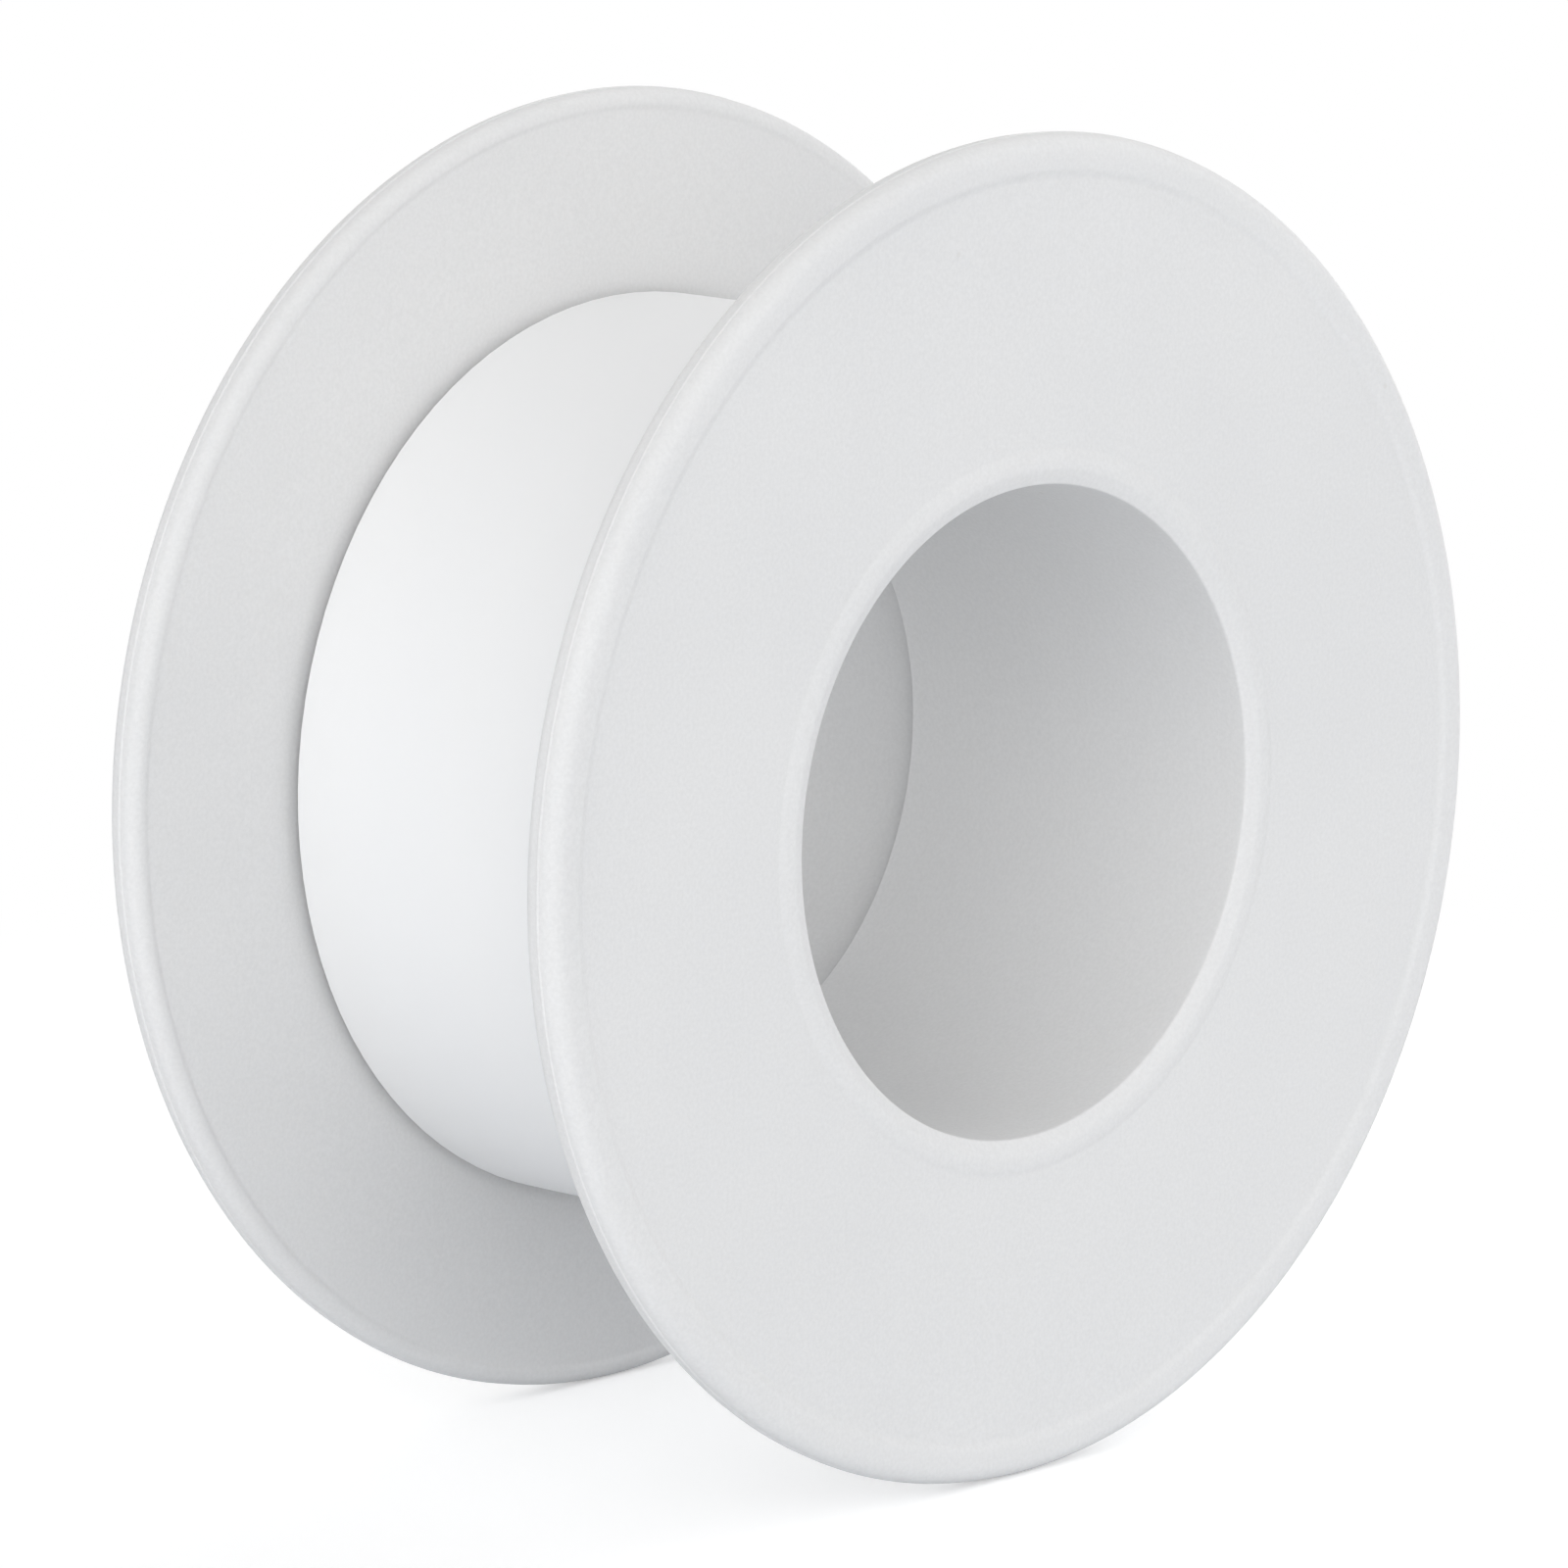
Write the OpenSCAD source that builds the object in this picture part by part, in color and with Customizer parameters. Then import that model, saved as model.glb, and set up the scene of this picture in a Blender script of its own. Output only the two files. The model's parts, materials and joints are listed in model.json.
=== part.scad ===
// Thread seal tape roll: a moulded spool in two halves, clipped together sleeve in sleeve,
// with a strip of thread seal film wound on the drum between its flanges.
// The axle runs along Y, the front half faces -Y, and the origin is the middle of the axle.

/* [Spool] */
// Diameter of both flanges
flange_d = 36; // [32:0.5:60]
// Diameter of the bore through the front half
bore_d = 17.5; // [12:0.1:20]
// Thickness of a flange at its rim, without the raised bead
web_t = 1.05; // [0.8:0.05:2]
// How much thicker a flange is at the hub, on its inner side
web_taper = 0.15; // [0:0.05:0.3]

/* [Rim and lip] */
// Height of the rim bead and the bore lip above the flange's face
raised_h = 0.06; // [0.04:0.02:0.4]
// Width of the bead round the rim
bead_w = 0.95; // [0.8:0.05:2]
// Width of the lip round the bore
lip_w = 1; // [0.8:0.05:1.5]
// Width of the soft slope at the foot of the bead
bead_slope = 0.36; // [0.1:0.02:0.5]
// Width of the soft slope at the foot of the lip
lip_slope = 0.2; // [0.1:0.02:0.4]
// Radius of the rim's two outer edges
rim_round = 0.48; // [0.2:0.02:0.6]
// Width of the bevel between the lip and the bore
lip_bevel_w = 0.44; // [0.1:0.02:0.6]
// Depth of that bevel along the bore
lip_bevel_h = 0.1; // [0.02:0.02:0.4]
// Height of the mould's parting line round the rim
parting_h = 0.03; // [0.01:0.01:0.06]
// Width of the parting line
parting_w = 0.12; // [0.06:0.02:0.2]

/* [Sleeves] */
// Wall of the front half's inner sleeve
sleeve_wall = 0.7; // [0.5:0.05:1]
// Distance of the inner sleeve's free end from the rear half's outer face
sleeve_set_back = 4.16; // [2:0.02:5]
// How much the rear half's bore is wider than the front half's at its rear end, in radius
rear_bore_step = 0.1; // [0:0.05:0.4]
// Wall of the rear half's drum
drum_wall = 0.7; // [0.6:0.05:1]
// Radial clearance between the sleeve and the drum
fit_clear = 0.05; // [0.02:0.01:0.1]
// Clearance at the drum's mouth and at the sleeve's free end
end_clear = 0.1; // [0.05:0.05:0.3]
// Height of the snap bead round the inner sleeve
snap_h = 0.14; // [0.05:0.01:0.2]
// Width of the snap bead
snap_w = 0.8; // [0.4:0.1:1.2]
// Distance of the snap bead from the sleeve's free end
snap_in = 1.1; // [0.9:0.1:3]

/* [Tape] */
// Width of the tape
tape_w = 13; // [8:0.1:25]
// Room between the tape's front edge and the front flange's rim
front_room = 1; // [0.4:0.05:2]
// Room between the tape's rear edge and the rear flange's rim
rear_room = 0.4; // [0.35:0.05:2]
// Thickness of the tape
tape_t = 0.065; // [0.04:0.005:0.1]
// Depth of the tape wound on the drum
winding_depth = 2.3; // [1:0.1:5]
// Arc from the root of the free end to its tip, in degrees
free_end_arc = 40; // [20:5:60]
// Arc left open on the winding between the tip and the start of the last turn, in degrees
tip_arc = 5; // [3:1:20]
// Direction of the free end's root, from +X towards +Z, in degrees
root_dir = 50; // [0:5:90]

/* [Hidden] */

// Roundness of every revolved surface
$fn = 96;
// Points along a soft slope or a small fillet
slope_steps = 6;
// Arc between two points of the wound strip, in degrees
strip_step = 5;

// Radius of the fillet where a sleeve springs from its flange
root_fillet = 0.25;
// Bevel on the sleeve's free end, which guides it into the drum
lead_in = 0.3;
// Room between the snap bead and its groove
snap_clear = 0.05;
// Gap under the last turn, and between the first turn and the drum
lay_clear = 0.03;
// Gap between the last turn's end and the free end, at its root
root_clear = 0.1;

flange_r = flange_d / 2;
bore_r = bore_d / 2;
rim_t = web_t + raised_h;
rim_r = min(rim_round, rim_t / 2, bead_w - bead_slope);
lip_cut = min(lip_bevel_w, lip_w - lip_slope);
hub_t = rim_t + web_taper;
spool_w = tape_w + front_room + rear_room + 2 * rim_t;
tape_mid = (front_room - rear_room) / 2;
sleeve_r = bore_r + sleeve_wall;
drum_bore_r = sleeve_r + fit_clear;
rear_bore_r = bore_r + rear_bore_step;
drum_r = drum_bore_r + drum_wall;
drum_len = spool_w - hub_t - end_clear;
mouth_bevel = root_fillet + fit_clear;
sleeve_len = spool_w - sleeve_set_back;
narrow_at = sleeve_set_back - end_clear;
snap_at = sleeve_len - snap_in;
groove_h = snap_h - fit_clear + snap_clear;
groove_w = snap_w + 2 * snap_clear;

winding_r = drum_r + winding_depth;
core_r = winding_r - 2 * tape_t - lay_clear;
turn_arc = 360 - tip_arc - free_end_arc;
root_gap_arc = root_clear / winding_r * 180 / PI;

// A soft slope from one point of a profile to another, level at both ends
function soft_slope(a, b) = [
    for (i = [0 : slope_steps])
        let (k = i / slope_steps)
        [a[0] + (b[0] - a[0]) * k, a[1] + (b[1] - a[1]) * (1 - cos(180 * k)) / 2]
];

// A swelling along the axle: out from radius r by h and back again, over width w centred on mid
function swelling(r, h, w, mid) = [
    for (i = [0 : 2 * slope_steps])
        let (k = i / (2 * slope_steps))
        [r + h * sin(180 * k), mid + w * (k - 1 / 2)]
];

// A flange's outer face, from the bore to the rim: lip, flat face and bead.
// Profiles are radius and depth, and the depth counts from the lip's face.
function face_points(hole_r) = concat(
    [[hole_r, lip_bevel_h], [hole_r + lip_cut, 0]],
    soft_slope([hole_r + lip_w - lip_slope, 0], [hole_r + lip_w, raised_h]),
    soft_slope([flange_r - bead_w, raised_h], [flange_r - bead_w + bead_slope, 0])
);

// A flange's inner face, from the rim to the sleeve of radius tube_r that springs from it
function inner_points(tube_r) = concat(
    [[flange_r - rim_r, rim_t]],
    [
        for (i = [0 : slope_steps])
            let (a = 270 - 90 * (i / slope_steps))
            [
                tube_r + root_fillet + root_fillet * cos(a),
                hub_t + root_fillet + root_fillet * sin(a)
            ]
    ]
);

// The rim's round edge, which closes a flange's profile, with the parting line at its middle
module rim_edge() {
    for (depth = [rim_r, rim_t - rim_r])
        translate([flange_r - rim_r, depth]) circle(r = rim_r);
    translate([flange_r - rim_r, rim_r]) square([rim_r, rim_t - 2 * rim_r]);
    polygon(concat(
        [[flange_r - rim_r, rim_t / 2]],
        swelling(flange_r, parting_h, parting_w, rim_t / 2)
    ));
}

// Turns a profile about the axle, with its depth counted from the front or from the rear
module turned(from_rear = false) {
    mirror([0, from_rear ? 1 : 0, 0])
        rotate([-90, 0, 0])
            translate([0, 0, -spool_w / 2])
                rotate_extrude() children();
}

// Front half: flange and inner sleeve, with the snap bead near the sleeve's end
module front_spool_half() {
    color("whitesmoke") turned() {
        polygon(concat(
            face_points(bore_r),
            [[flange_r - rim_r, 0]],
            inner_points(sleeve_r),
            swelling(sleeve_r, snap_h, snap_w, snap_at),
            [
                [sleeve_r, sleeve_len - lead_in],
                [sleeve_r - lead_in, sleeve_len],
                [bore_r, sleeve_len]
            ]
        ));
        rim_edge();
    }
}

// Rear half: flange and drum, bored to take the sleeve, with the groove for the snap bead.
// Behind the sleeve's end the bore narrows evenly to the rear lip.
module rear_spool_half() {
    groove_at = spool_w - snap_at;
    color("whitesmoke") turned(from_rear = true) difference() {
        union() {
            polygon(concat(
                face_points(rear_bore_r),
                [[flange_r - rim_r, 0]],
                inner_points(drum_r),
                [
                    [drum_r, drum_len],
                    [drum_bore_r + mouth_bevel, drum_len],
                    [drum_bore_r, drum_len - mouth_bevel],
                    [drum_bore_r, narrow_at]
                ]
            ));
            rim_edge();
        }
        polygon(swelling(drum_bore_r, groove_h, groove_w, groove_at));
    }
}

// The inner turns of the tape, as one ring on the drum
module tape_winding() {
    color("white")
        translate([0, tape_mid, 0])
            rotate([90, 0, 0])
                rotate_extrude()
                    translate([drum_r + lay_clear, -tape_w / 2])
                        square([core_r - drum_r - lay_clear, tape_w]);
}

// Inner radius of the last turn, s degrees along from its start: one thickness more each turn
function lay_r(s) = core_r + lay_clear + tape_t * s / 360;

// Direction of the strip, s degrees along from its start
function lay_dir(s) = root_dir + turn_arc - s;

// A point of the strip, at its inner face or out from it
function lay_point(s, out) = (lay_r(s) + out) * [cos(lay_dir(s)), sin(lay_dir(s))];

// Even stations from one arc to another
function stations(from, to) =
    let (n = ceil((to - from) / strip_step))
    [for (i = [0 : n]) from + (to - from) * i / n];

// A stretch of the wound strip, over the whole width of the tape
module strip(from, to) {
    along = stations(from, to);
    last = len(along) - 1;
    translate([0, tape_mid, 0])
        rotate([90, 0, 0])
            linear_extrude(height = tape_w, center = true)
                polygon(concat(
                    [for (s = along) lay_point(s, 0)],
                    [for (i = [0 : last]) lay_point(along[last - i], tape_t)]
                ));
}

// The last turn of the tape, which lies on the winding up to the free end's root
module tape_outer_turn() {
    color("white") strip(0, turn_arc);
}

// The free end of the tape, which lifts at its root
module tape_free_end() {
    color("white") strip(turn_arc + root_gap_arc, turn_arc + free_end_arc);
}

// Least gap between the start of the last turn and the tip of the free end, measured on points
end_points = [for (out = [0, tape_t]) lay_point(turn_arc + free_end_arc, out)];
start_points = [for (out = [0, tape_t]) lay_point(0, out)];
self_gap = min([for (a = start_points, b = end_points) norm(a - b)]);
echo(least_gap_of_the_last_turn_to_itself = self_gap);

front_spool_half();
rear_spool_half();
tape_winding();
tape_outer_turn();
tape_free_end();
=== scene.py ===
import json
import math

import bmesh
import bpy
from mathutils import Matrix, Vector


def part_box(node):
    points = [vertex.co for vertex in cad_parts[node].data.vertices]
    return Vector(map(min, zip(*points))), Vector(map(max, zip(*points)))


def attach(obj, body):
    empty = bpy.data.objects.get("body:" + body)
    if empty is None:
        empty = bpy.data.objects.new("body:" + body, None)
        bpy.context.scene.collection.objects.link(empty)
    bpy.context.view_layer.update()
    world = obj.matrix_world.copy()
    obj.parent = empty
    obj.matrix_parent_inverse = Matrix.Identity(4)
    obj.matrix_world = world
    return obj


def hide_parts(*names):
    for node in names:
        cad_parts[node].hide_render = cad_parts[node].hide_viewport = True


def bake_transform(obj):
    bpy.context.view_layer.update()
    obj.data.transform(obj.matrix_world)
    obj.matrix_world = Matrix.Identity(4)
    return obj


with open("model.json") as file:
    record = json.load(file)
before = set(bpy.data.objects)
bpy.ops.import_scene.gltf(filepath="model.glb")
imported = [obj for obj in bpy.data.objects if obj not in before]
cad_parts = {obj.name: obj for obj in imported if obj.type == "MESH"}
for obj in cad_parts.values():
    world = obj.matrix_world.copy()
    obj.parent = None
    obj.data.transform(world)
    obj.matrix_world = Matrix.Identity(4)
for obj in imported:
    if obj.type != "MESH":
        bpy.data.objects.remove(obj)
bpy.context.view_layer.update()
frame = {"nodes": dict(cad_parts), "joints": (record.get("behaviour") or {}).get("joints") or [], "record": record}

print("frame loaded:", sorted(frame["nodes"]))


# sizes that the frame gives, in metres
def readFrame():
    mounts = {m["name"]: m for m in frame["record"]["mounts"]}
    joints = {j["name"]: j for j in frame["joints"]}
    frontLow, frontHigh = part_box("front_spool_half")
    rearLow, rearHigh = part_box("rear_spool_half")
    coreLow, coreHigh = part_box("tape_winding")
    peel = joints["free_end_peel"]["pos_m"]
    return {
        "rimRadius": frontHigh.x,
        "boreRadius": mounts["peg_bore"]["dims"]["r_mm"] / 1000,
        "frontFace": frontLow.y,
        "sleeveEnd": frontHigh.y,
        "rearFace": rearHigh.y,
        "drumMouth": rearLow.y,
        "coreRadius": coreHigh.x,
        "tapeWidth": coreHigh.y - coreLow.y,
        "tapeMiddle": (coreHigh.y + coreLow.y) / 2,
        "floor": frontLow.z,
        "peelPoint": Vector(peel),
        "peelAngle": math.atan2(peel[2], peel[0]),
    }


size = readFrame()

# the mould's small sizes, shared by both halves of the spool
mould = {
    "raised": 0.00008,          # bead and lip above the face
    "web": 0.00103,             # flange at its rim, without the bead
    "taper": 0.00015,           # extra at the hub, inside
    "beadWidth": 0.00118,
    "beadSlope": 0.0003,
    "lipWidth": 0.00096,
    "lipCrown": 0.00046,        # the lip rounds off outwards over this width
    "lipFall": 2.5,             # and falls the faster the nearer it is to its foot
    "rimRound": 0.00048,
    "innerRound": 0.00036,
    "innerRaised": 0.000045,    # the bead on a flange's inner side
    "innerBeadWidth": 0.0006,
    "innerBeadSlope": 0.0002,
    "lipBevelWidth": 0.00042,
    "lipBevelDepth": 0.00016,
    "lipEdge": 0.00006,         # reach of the softened corners of the lip's bevel
    "partingHeight": 0.00003,
    "partingWidth": 0.00012,
    "sleeveWall": 0.0007,
    "drumWall": 0.0007,
    "fitClear": 0.00005,
    "endClear": 0.0001,
    "rearBoreStep": 0.0001,
    "rootFillet": 0.00025,
    "leadIn": 0.0003,
    "endRound": 0.00003,        # of the sleeve's free end, where it meets the bore
    "snapHeight": 0.00014,
    "snapWidth": 0.0008,
    "snapIn": 0.0011,
    "support": 0.00005,         # loops beside a slope, which keep the flat face flat
    "faceLoops": 14,
    "coneLoops": 8,             # along the rear half's narrowing bore
    "arcSteps": 8,
    "cornerSteps": 5,
    "endSteps": 4,
    "partingSteps": 3,
    "segments": 288,
    "weld": 0.000002,           # closes the seam where the sweep meets itself
    "warp": 0.00003,            # a moulded flange is never quite flat
}


# round stretches of a profile, as radius and depth
def arcPoints(centre, radius, fromDeg, toDeg, steps):
    out = []
    for i in range(steps + 1):
        a = math.radians(fromDeg + (toDeg - fromDeg) * i / steps)
        out.append((centre[0] + radius * math.cos(a), centre[1] + radius * math.sin(a)))
    return out


def softSlope(start, end, steps):
    out = []
    for i in range(steps + 1):
        k = i / steps
        rise = (1 - math.cos(math.pi * k)) / 2
        out.append((start[0] + (end[0] - start[0]) * k, start[1] + (end[1] - start[1]) * rise))
    return out


# a corner of a profile, rounded over the same reach on both sides
def softCorner(before, corner, after, reach, steps):
    at = Vector(corner)
    start = at + (Vector(before) - at).normalized() * reach
    end = at + (Vector(after) - at).normalized() * reach
    out = []
    for i in range(steps + 1):
        k = i / steps
        out.append(tuple(start.lerp(at, k).lerp(at.lerp(end, k), k)))
    return out


# a crown that starts level and ends steep, at its foot
def crownFall(start, end, power, steps):
    out = []
    for i in range(steps + 1):
        k = i / steps
        fall = k ** power
        out.append((start[0] + (end[0] - start[0]) * k, start[1] + (end[1] - start[1]) * fall))
    return out


# a round swelling, out from a radius and back again
def swelling(radius, height, width, middle, steps):
    out = []
    for i in range(2 * steps + 1):
        k = i / (2 * steps)
        out.append((radius + height * math.sin(math.pi * k), middle + width * (k - 0.5)))
    return out


# loops along a straight stretch, with one close to each of its ends
def between(start, end, loops, support):
    length = math.dist(start, end)
    shares = [support / length]
    shares += [(i + 1) / (loops + 1) for i in range(loops)]
    shares += [1 - support / length]
    return [tuple(a + (b - a) * k for a, b in zip(start, end)) for k in shares]


# the outer face of a flange, its rim and its inner face down to the sleeve's root
def flangeProfile(holeRadius, tubeRadius):
    m = mould
    n = m["arcSteps"]
    rim = size["rimRadius"] - m["partingHeight"]
    rimThick = m["web"] + m["raised"]
    hubThick = rimThick + m["taper"]
    r = m["rimRound"]
    lipFoot = holeRadius + m["lipWidth"]
    beadFoot = rim - m["beadWidth"]
    lip = crownFall((lipFoot - m["lipCrown"], 0), (lipFoot, m["raised"]), m["lipFall"], n)
    bead = softSlope((beadFoot, m["raised"]), (beadFoot + m["beadSlope"], 0), n)
    rootCentre = (tubeRadius + m["rootFillet"], hubThick + m["rootFillet"])
    root = arcPoints(rootCentre, m["rootFillet"], 270, 180, n)
    inner = m["innerRound"]
    innerFoot = rim - m["innerBeadWidth"]
    crestEnd = (innerFoot + m["innerBeadSlope"], rimThick)
    innerBead = softSlope(crestEnd, (innerFoot, rimThick - m["innerRaised"]), n)
    edge = (holeRadius, m["lipBevelDepth"])
    crest = (holeRadius + m["lipBevelWidth"], 0)
    corner = m["cornerSteps"]
    points = softCorner((holeRadius, hubThick), edge, crest, m["lipEdge"], corner)
    points += softCorner(edge, crest, lip[0], m["lipEdge"], corner)
    points += lip + between(lip[-1], bead[0], m["faceLoops"], m["support"]) + bead
    points += arcPoints((rim - r, r), r, -90, 0, n)
    parting = (m["partingHeight"], m["partingWidth"])
    points += swelling(rim, *parting, rimThick / 2, m["partingSteps"])
    points += arcPoints((rim - inner, rimThick - inner), inner, 0, 90, n)
    points += innerBead + between(innerBead[-1], root[0], m["faceLoops"], m["support"]) + root
    return points


def dropDoubles(points, least=1e-7):
    out = []
    for p in points:
        if not out or math.dist(p, out[-1]) > least:
            out.append(p)
    return out


def frontProfile():
    m = mould
    tube = size["boreRadius"] + m["sleeveWall"]
    length = size["sleeveEnd"] - size["frontFace"]
    points = flangeProfile(size["boreRadius"], tube)
    points += swelling(tube, m["snapHeight"], m["snapWidth"], length - m["snapIn"], m["arcSteps"])
    points += [(tube, length - m["leadIn"]), (tube - m["leadIn"], length)]
    e = m["endRound"]
    points += arcPoints((size["boreRadius"] + e, length - e), e, 90, 180, m["endSteps"])
    points += between(points[-1], points[0], m["faceLoops"], m["support"])
    return [(r, size["frontFace"] + depth) for r, depth in dropDoubles(points)]


def rearProfile():
    m = mould
    bore = size["boreRadius"] + m["sleeveWall"] + m["fitClear"]
    drum = bore + m["drumWall"]
    length = size["rearFace"] - size["drumMouth"]
    bevel = m["rootFillet"] + m["fitClear"]
    setBack = size["rearFace"] - size["sleeveEnd"]
    grooveAt = setBack + m["snapIn"]
    narrowAt = setBack - m["endClear"]
    rearBore = size["boreRadius"] + m["rearBoreStep"]
    grooveWidth = m["snapWidth"] + 2 * m["fitClear"]
    groove = swelling(bore, m["snapHeight"], grooveWidth, grooveAt, m["arcSteps"])
    points = flangeProfile(rearBore, drum)
    points += [(drum, length), (bore + bevel, length), (bore, length - bevel)]
    points += groove[::-1] + [(bore, narrowAt)]
    points += between(points[-1], points[0], m["coneLoops"], m["support"])
    return [(r, size["rearFace"] - depth) for r, depth in dropDoubles(points)]


# a node tree that carries a profile round the axle, with a rise each turn for what is wound
def sweepTree():
    tree = bpy.data.node_groups.new("sweepRoundAxle", "GeometryNodeTree")
    face = tree.interface
    face.new_socket("Geometry", in_out="OUTPUT", socket_type="NodeSocketGeometry")
    face.new_socket("Profile", in_out="INPUT", socket_type="NodeSocketGeometry")
    for name, kind in (
        ("Steps", "NodeSocketInt"),
        ("Start", "NodeSocketFloat"),
        ("Arc", "NodeSocketFloat"),
        ("Rise Per Turn", "NodeSocketFloat"),
        ("First Turn", "NodeSocketFloat"),
        ("Wander", "NodeSocketFloat"),
        ("Wander Scale", "NodeSocketFloat"),
        ("Lean", "NodeSocketFloat"),
        ("Lean Turns", "NodeSocketFloat"),
        ("Warp", "NodeSocketFloat"),
        ("Warp Radius", "NodeSocketFloat"),
        ("Weld", "NodeSocketFloat"),
        ("Material", "NodeSocketMaterial"),
    ):
        face.new_socket(name, in_out="INPUT", socket_type=kind)
    nodes, links = tree.nodes, tree.links
    given = nodes.new("NodeGroupInput")
    made = nodes.new("NodeGroupOutput")

    def put(node, socket, value):
        if isinstance(value, bpy.types.NodeSocket):
            links.new(value, node.inputs[socket])
        elif value is not None:
            node.inputs[socket].default_value = value

    def sums(operation, a, b=None):
        node = nodes.new("ShaderNodeMath")
        node.operation = operation
        put(node, 0, a)
        put(node, 1, b)
        return node.outputs[0]

    profileSize = nodes.new("GeometryNodeAttributeDomainSize")
    put(profileSize, "Geometry", given.outputs["Profile"])
    count = profileSize.outputs["Point Count"]
    grid = nodes.new("GeometryNodeMeshGrid")
    put(grid, "Vertices X", sums("ADD", given.outputs["Steps"], 1))
    put(grid, "Vertices Y", count)
    index = nodes.new("GeometryNodeInputIndex").outputs[0]
    along = sums("FLOOR", sums("DIVIDE", sums("ADD", index, 0.5), count))
    across = sums("SUBTRACT", index, sums("MULTIPLY", along, count))
    share = sums("DIVIDE", along, given.outputs["Steps"])
    turned = sums("MULTIPLY", share, given.outputs["Arc"])
    angle = sums("ADD", given.outputs["Start"], turned)
    turns = sums("DIVIDE", sums("ABSOLUTE", turned), 2 * math.pi)

    profilePoint = nodes.new("GeometryNodeSampleIndex")
    profilePoint.data_type = "FLOAT_VECTOR"
    put(profilePoint, "Geometry", given.outputs["Profile"])
    put(profilePoint, "Value", nodes.new("GeometryNodeInputPosition").outputs[0])
    put(profilePoint, "Index", across)
    parts = nodes.new("ShaderNodeSeparateXYZ")
    put(parts, 0, profilePoint.outputs["Value"])
    rise = sums("MULTIPLY", turns, given.outputs["Rise Per Turn"])
    radius = sums("ADD", parts.outputs["X"], rise)

    lay = sums("ADD", turns, given.outputs["First Turn"])
    drift = nodes.new("ShaderNodeTexNoise")
    drift.noise_dimensions = "1D"
    put(drift, "W", sums("MULTIPLY", lay, given.outputs["Wander Scale"]))
    put(drift, "Scale", 1.0)
    put(drift, "Detail", 2.0)
    wander = sums("MULTIPLY", sums("SUBTRACT", drift.outputs[0], 0.5), given.outputs["Wander"])
    inward = sums("DIVIDE", sums("SUBTRACT", 0, lay), given.outputs["Lean Turns"])
    inward = sums("MINIMUM", sums("MAXIMUM", inward, 0), 1)
    stray = sums("ADD", wander, sums("MULTIPLY", inward, given.outputs["Lean"]))
    outward = sums("POWER", sums("DIVIDE", radius, given.outputs["Warp Radius"]), 3)
    wave = sums("COSINE", sums("MULTIPLY", angle, 2))
    warp = sums("MULTIPLY", sums("MULTIPLY", wave, outward), given.outputs["Warp"])
    depth = sums("ADD", parts.outputs["Y"], sums("ADD", stray, warp))

    place = nodes.new("ShaderNodeCombineXYZ")
    put(place, "X", sums("MULTIPLY", radius, sums("COSINE", angle)))
    put(place, "Y", depth)
    put(place, "Z", sums("MULTIPLY", radius, sums("SINE", angle)))
    moved = nodes.new("GeometryNodeSetPosition")
    put(moved, "Geometry", grid.outputs["Mesh"])
    put(moved, "Position", place.outputs[0])

    layCoord = nodes.new("ShaderNodeCombineXYZ")
    put(layCoord, "X", sums("MULTIPLY", lay, sums("MULTIPLY", radius, 2 * math.pi)))
    put(layCoord, "Y", parts.outputs["Y"])
    put(layCoord, "Z", lay)
    stored = nodes.new("GeometryNodeStoreNamedAttribute")
    stored.data_type = "FLOAT_VECTOR"
    stored.domain = "POINT"
    put(stored, "Geometry", moved.outputs[0])
    put(stored, "Name", "lay")
    put(stored, "Value", layCoord.outputs[0])

    welded = nodes.new("GeometryNodeMergeByDistance")
    put(welded, "Geometry", stored.outputs[0])
    put(welded, "Distance", given.outputs["Weld"])
    smooth = nodes.new("GeometryNodeSetShadeSmooth")
    put(smooth, "Geometry", welded.outputs[0])
    real = nodes.new("GeometryNodeRealizeInstances")
    put(real, "Geometry", smooth.outputs[0])
    painted = nodes.new("GeometryNodeSetMaterial")
    put(painted, "Geometry", real.outputs[0])
    put(painted, "Material", given.outputs["Material"])
    put(made, "Geometry", painted.outputs[0])
    return tree


roundTree = sweepTree()
sockets = {s.name: s.identifier for s in roundTree.interface.items_tree if s.in_out == "INPUT"}
print("sweep tree built with", len(roundTree.nodes), "nodes")


# runs the tree on one profile and keeps the result as a plain, closed mesh
def sweepPiece(name, profile, values, creaseDeg=35):
    mesh = bpy.data.meshes.new(name + "Profile")
    loop = profile + profile[:1]
    edges = [(i, i + 1) for i in range(len(loop) - 1)]
    mesh.from_pydata([(r, y, 0) for r, y in loop], edges, [])
    source = bpy.data.objects.new(name + "Profile", mesh)
    bpy.context.scene.collection.objects.link(source)
    sweep = source.modifiers.new("sweep", "NODES")
    sweep.node_group = roundTree
    for key, value in values.items():
        sweep[sockets[key]] = value
    dg = bpy.context.evaluated_depsgraph_get()
    plain = bpy.data.meshes.new_from_object(source.evaluated_get(dg))
    source.modifiers.remove(sweep)
    bpy.data.objects.remove(source)
    bm = bmesh.new()
    bm.from_mesh(plain)
    ends = [e for e in bm.edges if e.is_boundary]
    if ends:
        bmesh.ops.holes_fill(bm, edges=ends, sides=0)
    bmesh.ops.recalc_face_normals(bm, faces=bm.faces)
    for e in bm.edges:
        e.smooth = len(e.link_faces) == 2 and e.calc_face_angle(0) < math.radians(creaseDeg)
    bm.to_mesh(plain)
    bm.free()
    plain.name = name
    piece = bpy.data.objects.new(name, plain)
    bpy.context.scene.collection.objects.link(piece)
    print("made", name, len(plain.vertices), "points", len(plain.polygons), "faces")
    return piece


# small helpers for the shaders
def newShader(name):
    mat = bpy.data.materials.new(name)
    mat.use_nodes = True
    tree = mat.node_tree
    shader = tree.nodes["Principled BSDF"]
    return mat, tree, shader


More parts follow.
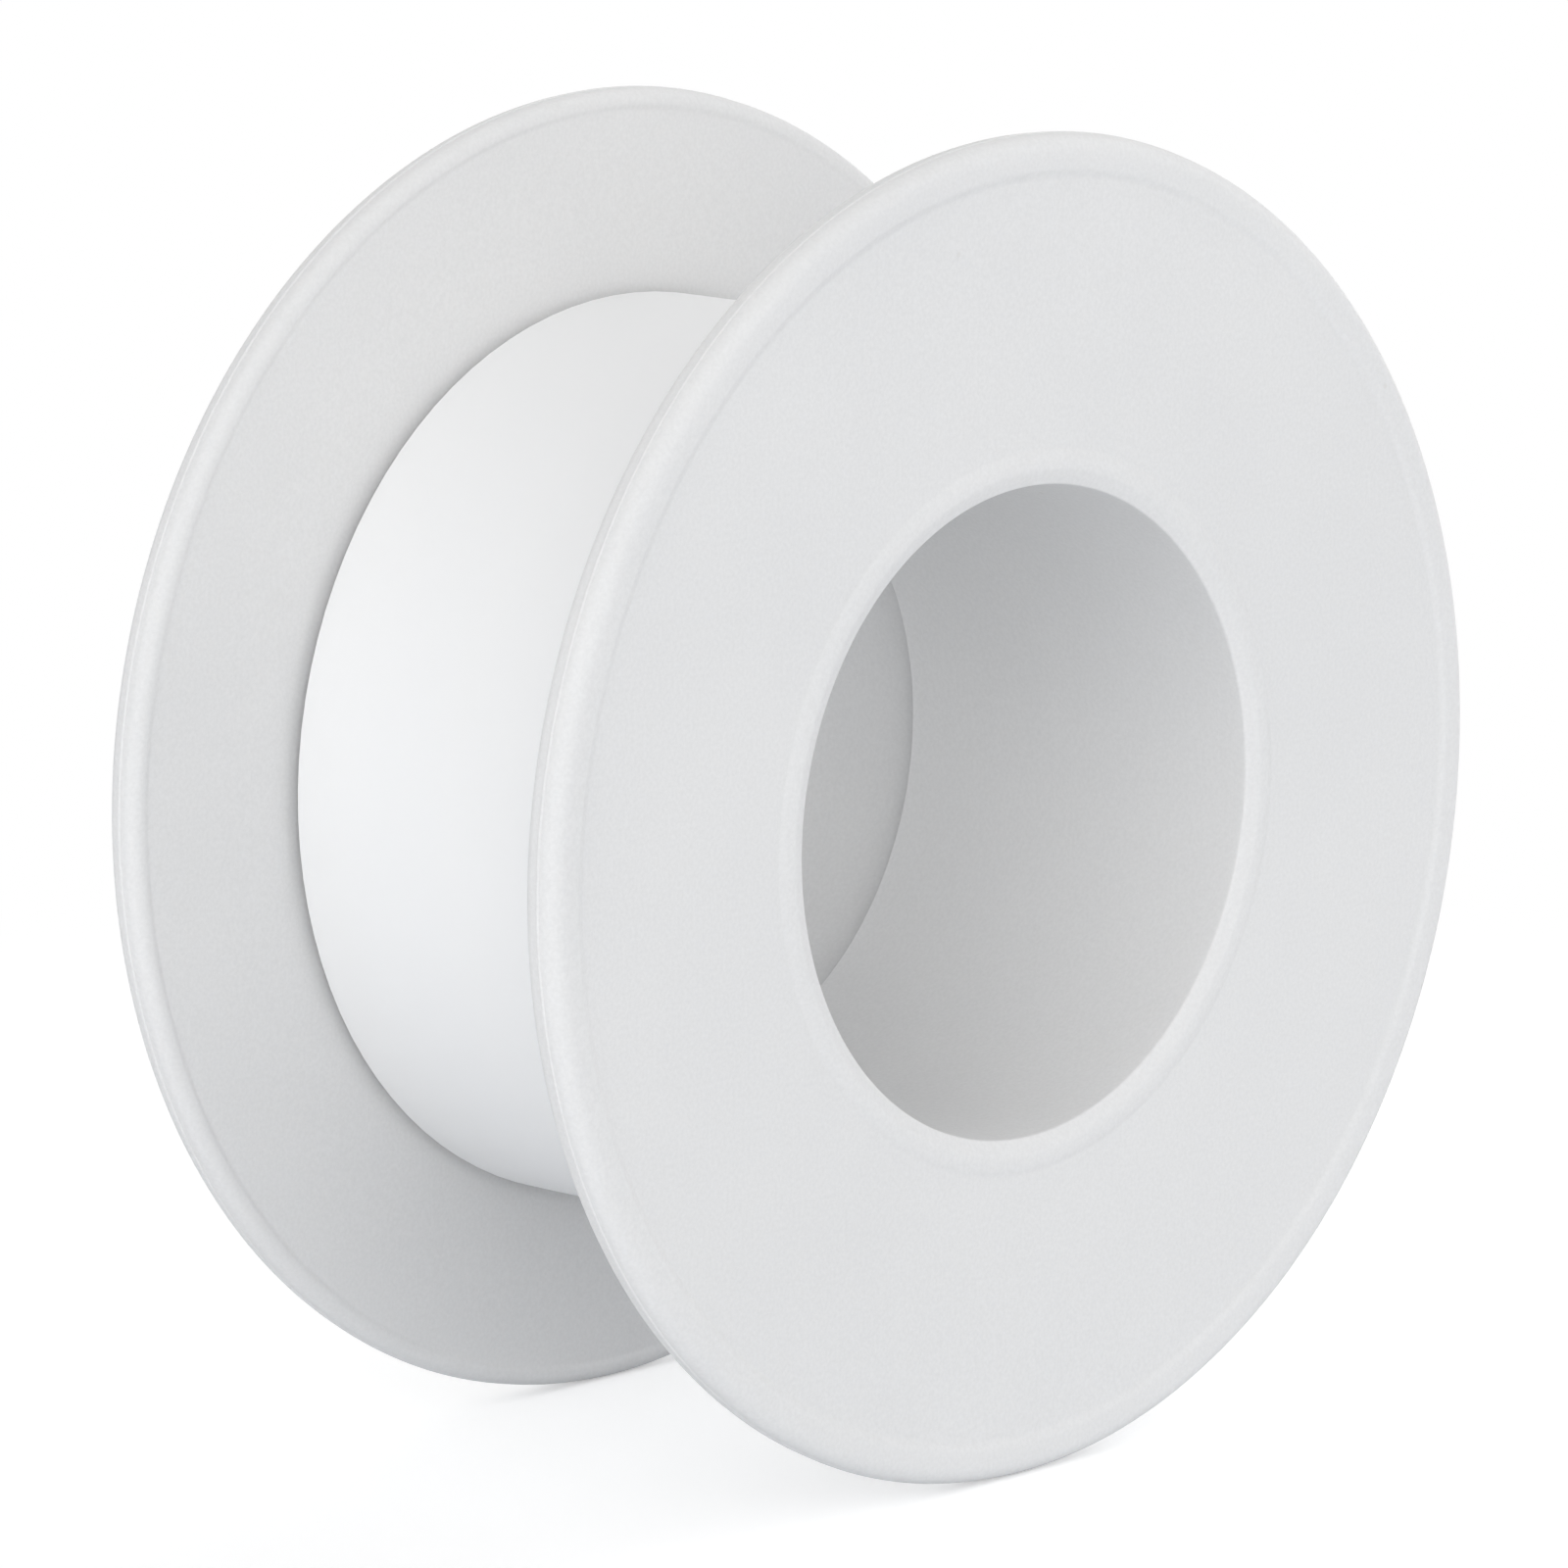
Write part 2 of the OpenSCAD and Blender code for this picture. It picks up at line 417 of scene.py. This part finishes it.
def noise(tree, vector, scale, detail=2.0, roughness=0.5):
    node = tree.nodes.new("ShaderNodeTexNoise")
    node.inputs["Scale"].default_value = scale
    node.inputs["Detail"].default_value = detail
    node.inputs["Roughness"].default_value = roughness
    tree.links.new(vector, node.inputs["Vector"])
    return node.outputs["Fac"]


def spread(tree, value, low, high, fromLow=0.0, fromHigh=1.0, manner="LINEAR"):
    node = tree.nodes.new("ShaderNodeMapRange")
    node.interpolation_type = manner
    node.inputs["From Min"].default_value = fromLow
    node.inputs["From Max"].default_value = fromHigh
    node.inputs["To Min"].default_value = low
    node.inputs["To Max"].default_value = high
    tree.links.new(value, node.inputs["Value"])
    return node.outputs["Result"]


def mixColour(tree, factor, first, second):
    node = tree.nodes.new("ShaderNodeMix")
    node.data_type = "RGBA"
    node.inputs["A"].default_value = (*first, 1)
    node.inputs["B"].default_value = (*second, 1)
    tree.links.new(factor, node.inputs["Factor"])
    return node.outputs["Result"]


def bump(tree, height, strength, distance, below=None):
    node = tree.nodes.new("ShaderNodeBump")
    node.inputs["Strength"].default_value = strength
    node.inputs["Distance"].default_value = distance
    tree.links.new(height, node.inputs["Height"])
    if below is not None:
        tree.links.new(below, node.inputs["Normal"])
    return node.outputs["Normal"]


def stretched(tree, vector, scale):
    node = tree.nodes.new("ShaderNodeMapping")
    node.inputs["Scale"].default_value = scale
    tree.links.new(vector, node.inputs["Vector"])
    return node.outputs["Vector"]


# what is the same all over a surface
def setBody(shader, look):
    shader.inputs["IOR"].default_value = look["ior"]
    shader.inputs["Specular IOR Level"].default_value = look["gloss"]
    shader.inputs["Subsurface Weight"].default_value = look["scatter"]
    shader.inputs["Subsurface Radius"].default_value = look["scatterRadius"]
    shader.inputs["Subsurface Scale"].default_value = look["scatterDepth"]


# satin white moulding: fine spark grain, soft orange peel, faint clouds and a few specks
plasticLook = {
    "pale": (0.72, 0.72, 0.72),
    "dull": (0.703, 0.704, 0.706),
    "speck": (0.60, 0.59, 0.57),
    "grainScale": 9000,
    "grainShade": (0.97, 1.03),
    "peelScale": 900,
    "peelRoughness": (0.58, 0.68),
    "peelBump": (0.10, 0.00004),        # strength and depth
    "grainBump": (0.16, 0.00001),
    "cloudScale": 110,
    "cloudRange": (0.35, 0.65),
    "speckScale": 260,
    "speckStrength": 0.4,
    "speckEdge": (0.012, 0.026),        # a speck's core and its rim, in cells
    "ior": 1.49,
    "gloss": 0.2,
    "scatter": 0.2,
    "scatterRadius": (1.0, 0.95, 0.9),
    "scatterDepth": 0.0008,
}

noiseMiddle = (0.3, 0.7)        # where most of a noise's values lie


def plasticShader():
    look = plasticLook
    mat, tree, shader = newShader("satinWhiteMoulding")
    here = tree.nodes.new("ShaderNodeTexCoord").outputs["Object"]
    clouds = noise(tree, here, look["cloudScale"], 3)
    cloudy = spread(tree, clouds, 0, 1, *look["cloudRange"])
    colour = mixColour(tree, cloudy, look["pale"], look["dull"])
    cells = tree.nodes.new("ShaderNodeTexVoronoi")
    cells.inputs["Scale"].default_value = look["speckScale"]
    tree.links.new(here, cells.inputs["Vector"])
    speck = spread(tree, cells.outputs["Distance"], look["speckStrength"], 0, *look["speckEdge"])
    tint = tree.nodes.new("ShaderNodeMix")
    tint.data_type = "RGBA"
    tint.inputs["B"].default_value = (*look["speck"], 1)
    tree.links.new(colour, tint.inputs["A"])
    tree.links.new(speck, tint.inputs["Factor"])
    peel = noise(tree, here, look["peelScale"], 2)
    grain = noise(tree, here, look["grainScale"], 2, 0.6)
    shade = tree.nodes.new("ShaderNodeVectorMath")
    shade.operation = "SCALE"
    tree.links.new(tint.outputs["Result"], shade.inputs[0])
    tree.links.new(spread(tree, grain, *look["grainShade"], *noiseMiddle), shade.inputs["Scale"])
    tree.links.new(shade.outputs[0], shader.inputs["Base Color"])
    rough = spread(tree, peel, *look["peelRoughness"], *noiseMiddle)
    tree.links.new(rough, shader.inputs["Roughness"])
    wavy = bump(tree, peel, *look["peelBump"])
    tree.links.new(bump(tree, grain, *look["grainBump"], wavy), shader.inputs["Normal"])
    setBody(shader, look)
    return mat


# waxy film: draw lines along the strip, faint bands from the turns beneath
filmLook = {
    "pale": (0.955, 0.955, 0.954),
    "dull": (0.94, 0.942, 0.945),
    "drawLines": (30, 2600, 1),
    "bands": (8, 340, 1),
    "lineRoughness": (0.5, 0.62),
    "bandBump": (0.10, 0.00004),
    "lineBump": (0.10, 0.00001),
    "ior": 1.36,
    "gloss": 0.3,
    "scatter": 0.25,
    "scatterRadius": (1.0, 0.98, 0.95),
    "scatterDepth": 0.0004,
}


def filmShader():
    look = filmLook
    mat, tree, shader = newShader("waxyWhiteFilm")
    lay = tree.nodes.new("ShaderNodeAttribute")
    lay.attribute_name = "lay"
    lines = noise(tree, stretched(tree, lay.outputs["Vector"], look["drawLines"]), 1, 3)
    bands = noise(tree, stretched(tree, lay.outputs["Vector"], look["bands"]), 1, 2)
    banded = spread(tree, bands, 0, 1, *noiseMiddle)
    colour = mixColour(tree, banded, look["pale"], look["dull"])
    tree.links.new(colour, shader.inputs["Base Color"])
    rough = spread(tree, lines, *look["lineRoughness"], *noiseMiddle)
    tree.links.new(rough, shader.inputs["Roughness"])
    broad = bump(tree, bands, *look["bandBump"])
    tree.links.new(bump(tree, lines, *look["lineBump"], broad), shader.inputs["Normal"])
    setBody(shader, look)
    return mat


plastic = plasticShader()
film = filmShader()
print("materials ready")


def halfOfSpool(name, profile, node, body):
    m = mould
    piece = sweepPiece(
        name,
        profile,
        {
            "Steps": m["segments"],
            "Arc": 2 * math.pi,
            "Warp": m["warp"],
            "Warp Radius": size["rimRadius"],
            "Weld": m["weld"],
            "Material": plastic,
        },
    )
    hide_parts(node)
    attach(piece, body)


halfOfSpool("frontSpoolHalf", frontProfile(), "front_spool_half", "front_half")
halfOfSpool("rearSpoolHalf", rearProfile(), "rear_spool_half", "wound_half")

# the strip: pitch from turn to turn, the film itself a little thinner so that its layers show
tape = {
    "pitch": 0.000065,
    "film": 0.000055,
    "layClear": 0.00003,
    "tipArcDeg": 5,             # left open before the tip of the free end
    "freeArcDeg": 40,           # from the root to the tip
    "holdArcDeg": 12,           # of the free end's piece that still lies on the roll
    "bendShare": 0.3,           # of the free end that bends as it lifts
    "stepsPerTurn": 96,
    "acrossSteps": 6,
    "wander": 0.00012,          # how far a turn strays sideways
    "wanderScale": 2.3,
    "lean": 0.00014,            # the turns below lie nearer the rear flange
    "leanTurns": 4,
    "weld": 0.0000001,
}


def stripProfile(radius):
    t = tape
    n = t["acrossSteps"]
    half = size["tapeWidth"] / 2
    ys = [size["tapeMiddle"] + half * (2 * i / n - 1) for i in range(n + 1)]
    return [(radius, y) for y in ys] + [(radius + t["film"], y) for y in ys[::-1]]


# a stretch of the wound strip, from one turn to another, counted from the last turn's start
def stripPiece(name, fromTurn, toTurn):
    t = tape
    turnArc = 360 - t["tipArcDeg"] - t["freeArcDeg"]
    startAngle = size["peelAngle"] + math.radians(turnArc) - 2 * math.pi * fromTurn
    radius = size["coreRadius"] + t["layClear"] + t["pitch"] * fromTurn
    return sweepPiece(
        name,
        stripProfile(radius),
        {
            "Steps": round((toTurn - fromTurn) * t["stepsPerTurn"]),
            "Start": startAngle,
            "Arc": -2 * math.pi * (toTurn - fromTurn),
            "Rise Per Turn": t["pitch"],
            "First Turn": fromTurn,
            "Wander": t["wander"],
            "Wander Scale": t["wanderScale"],
            "Lean": t["lean"],
            "Lean Turns": t["leanTurns"],
            "Warp Radius": size["rimRadius"],
            "Weld": t["weld"],
            "Material": film,
        },
    )


def makeTape():
    t = tape
    drum = size["boreRadius"] + mould["sleeveWall"] + mould["fitClear"] + mould["drumWall"]
    innerTurns = math.floor((size["coreRadius"] - drum) / t["pitch"])
    root = (360 - t["tipArcDeg"] - t["freeArcDeg"]) / 360
    tip = root + t["freeArcDeg"] / 360
    hold = root - t["holdArcDeg"] / 360
    roll = stripPiece("tapeRoll", -innerTurns, hold)
    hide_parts("tape_winding", "tape_outer_turn")
    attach(roll, "wound_half")
    loose = stripPiece("tapeFreeEnd", hold, tip)
    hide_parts("tape_free_end")
    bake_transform(loose)
    print("tape wound in", innerTurns + 1, "turns")


makeTape()

# floor and world: white to the camera, and the floor still holds the roll's shadow
stageLook = {
    "floorSize": 3.0,
    "seenColour": (0.8, 0.8, 0.8),
    "seenGlow": 0.4,            # brings the lit floor up to white, its shadow stays
    "bounceColour": (0.84, 0.86, 0.89),
    "fadeFrom": 0.028,          # beyond the shadow the floor passes into the white
    "fadeTo": 0.075,
    "worldColour": (1.0, 1.0, 1.0),
}


# soft light from wide directions: most from the front left and the right, less from behind
studioLobes = {
    "leftWall": {"aroundDeg": -90, "aboveDeg": 5, "narrow": 4.0, "strength": 1.5},
    "frontLeft": {"aroundDeg": -45, "aboveDeg": 5, "narrow": 4.0, "strength": 2.5},
    "front": {"aroundDeg": 0, "aboveDeg": 5, "narrow": 4.0, "strength": 0.5},
    "frontRight": {"aroundDeg": 45, "aboveDeg": 45, "narrow": 4.0, "strength": 0.35},
    "rightWall": {"aroundDeg": 90, "aboveDeg": 20, "narrow": 4.0, "strength": 2.35},
    "behind": {"aroundDeg": 180, "aboveDeg": 30, "narrow": 4.0, "strength": 0.85},
}


# a direction as seen from the roll: round from the front, and up from the floor
def directionTo(aroundDeg, aboveDeg):
    a, e = math.radians(aroundDeg), math.radians(aboveDeg)
    return Vector((math.sin(a) * math.cos(e), -math.cos(a) * math.cos(e), math.sin(e)))


def mathNode(tree, operation, first, second):
    node = tree.nodes.new("ShaderNodeMath")
    node.operation = operation
    for socket, value in zip(node.inputs, (first, second)):
        if isinstance(value, bpy.types.NodeSocket):
            tree.links.new(value, socket)
        else:
            socket.default_value = value
    return node.outputs[0]


def whiteToCamera(tree):
    path = tree.nodes.new("ShaderNodeLightPath")
    seen = path.outputs["Is Camera Ray"]
    for other in ("Is Glossy Ray", "Is Transmission Ray"):
        seen = mathNode(tree, "MAXIMUM", seen, path.outputs[other])
    return seen


def eitherShader(tree, factor, first, second):
    node = tree.nodes.new("ShaderNodeMixShader")
    tree.links.new(factor, node.inputs[0])
    tree.links.new(first, node.inputs[1])
    tree.links.new(second, node.inputs[2])
    return node.outputs[0]


def floorPaint():
    look = stageLook
    mat = bpy.data.materials.new("paleFloorPaint")
    mat.use_nodes = True
    tree = mat.node_tree
    tree.nodes.clear()
    seen = tree.nodes.new("ShaderNodeBsdfDiffuse")
    seen.inputs["Color"].default_value = (*look["seenColour"], 1)
    glow = tree.nodes.new("ShaderNodeEmission")
    glow.inputs["Strength"].default_value = look["seenGlow"]
    near = tree.nodes.new("ShaderNodeAddShader")
    tree.links.new(seen.outputs[0], near.inputs[0])
    tree.links.new(glow.outputs[0], near.inputs[1])
    white = tree.nodes.new("ShaderNodeEmission")
    bounce = tree.nodes.new("ShaderNodeBsdfDiffuse")
    bounce.inputs["Color"].default_value = (*look["bounceColour"], 1)
    away = tree.nodes.new("ShaderNodeVectorMath")
    away.operation = "LENGTH"
    tree.links.new(tree.nodes.new("ShaderNodeTexCoord").outputs["Object"], away.inputs[0])
    reach = (look["fadeFrom"], look["fadeTo"])
    fade = spread(tree, away.outputs["Value"], 0, 1, *reach, "SMOOTHSTEP")
    shown = eitherShader(tree, fade, near.outputs[0], white.outputs[0])
    out = tree.nodes.new("ShaderNodeOutputMaterial")
    whole = eitherShader(tree, whiteToCamera(tree), bounce.outputs[0], shown)
    tree.links.new(whole, out.inputs["Surface"])
    return mat


def makeFloor():
    half = stageLook["floorSize"] / 2
    mesh = bpy.data.meshes.new("paleFloor")
    corners = [(-half, -half), (half, -half), (half, half), (-half, half)]
    mesh.from_pydata([(x, y, 0) for x, y in corners], [], [(0, 1, 2, 3)])
    floor = bpy.data.objects.new("paleFloor", mesh)
    floor.location.z = size["floor"]
    bpy.context.scene.collection.objects.link(floor)
    mesh.materials.append(floorPaint())


def makeWorld():
    look = stageLook
    world = bpy.data.worlds.new("softStudio")
    bpy.context.scene.world = world
    world.use_nodes = True
    tree = world.node_tree
    tree.nodes.clear()
    toward = tree.nodes.new("ShaderNodeTexCoord").outputs["Generated"]
    strength = 0.0
    for lobe in studioLobes.values():
        facing = tree.nodes.new("ShaderNodeVectorMath")
        facing.operation = "DOT_PRODUCT"
        facing.inputs[1].default_value = directionTo(lobe["aroundDeg"], lobe["aboveDeg"])
        tree.links.new(toward, facing.inputs[0])
        towardLobe = mathNode(tree, "MAXIMUM", facing.outputs["Value"], 0.0)
        share = mathNode(tree, "POWER", towardLobe, lobe["narrow"])
        part = mathNode(tree, "MULTIPLY", share, lobe["strength"])
        strength = mathNode(tree, "ADD", strength, part)
    lit = tree.nodes.new("ShaderNodeBackground")
    lit.inputs["Color"].default_value = (*look["worldColour"], 1)
    tree.links.new(strength, lit.inputs["Strength"])
    white = tree.nodes.new("ShaderNodeBackground")
    white.inputs["Color"].default_value = (1, 1, 1, 1)
    white.inputs["Strength"].default_value = 1.0
    out = tree.nodes.new("ShaderNodeOutputWorld")
    whole = eitherShader(tree, whiteToCamera(tree), lit.outputs[0], white.outputs[0])
    tree.links.new(whole, out.inputs["Surface"])


makeFloor()
makeWorld()

# one wide softbox that gives the forms some direction
lamps = {
    "keySoftbox": {"aroundDeg": -60, "aboveDeg": 35, "away": 0.7, "side": 0.6, "power": 0.15},
}


def makeLamps():
    for name, lamp in lamps.items():
        toward = directionTo(lamp["aroundDeg"], lamp["aboveDeg"])
        data = bpy.data.lights.new(name, "AREA")
        data.shape = "SQUARE"
        data.size = lamp["side"]
        data.energy = lamp["power"]
        obj = bpy.data.objects.new(name, data)
        obj.location = toward * lamp["away"]
        obj.rotation_mode = "QUATERNION"
        obj.rotation_quaternion = (-toward).to_track_quat("-Z", "Y")
        bpy.context.scene.collection.objects.link(obj)


makeLamps()

# the photograph's view: a long lens, a little above the axle, from the front on the left
shot = {
    "aroundDeg": 46.48,
    "aboveDeg": 10.63,
    "focalPixels": 9586,
    "framePixels": 1600,
    "sensor": 36.0,
    "rightShare": 0.3651,       # where the front face's middle lies, in flange radii
    "downShare": 0.0440,
    "awayShare": 13.798,
    "flangeRadius": 0.018,
    "faceDepth": 0.00006,       # of the face's plane behind the lip
    "clip": (0.01, 20),
}


def makeCamera():
    s = shot
    a, e = math.radians(s["aroundDeg"]), math.radians(s["aboveDeg"])
    right = Vector((math.cos(a), -math.sin(a), 0))
    ahead = Vector((math.sin(a) * math.cos(e), math.cos(a) * math.cos(e), -math.sin(e)))
    up = right.cross(ahead)
    aim = Vector((0, size["frontFace"] + s["faceDepth"], 0))
    offset = right * s["rightShare"] - up * s["downShare"] + ahead * s["awayShare"]
    data = bpy.data.cameras.new("photoCamera")
    data.sensor_width = s["sensor"]
    data.lens = s["sensor"] * s["focalPixels"] / s["framePixels"]
    data.clip_start, data.clip_end = s["clip"]
    camera = bpy.data.objects.new("photoCamera", data)
    turn = Matrix((right, up, -ahead)).transposed().to_4x4()
    camera.matrix_world = Matrix.Translation(aim - offset * s["flangeRadius"]) @ turn
    bpy.context.scene.collection.objects.link(camera)
    bpy.context.scene.camera = camera


makeCamera()
bpy.context.scene.view_settings.view_transform = "Standard"
print("stage, lamps and camera ready")
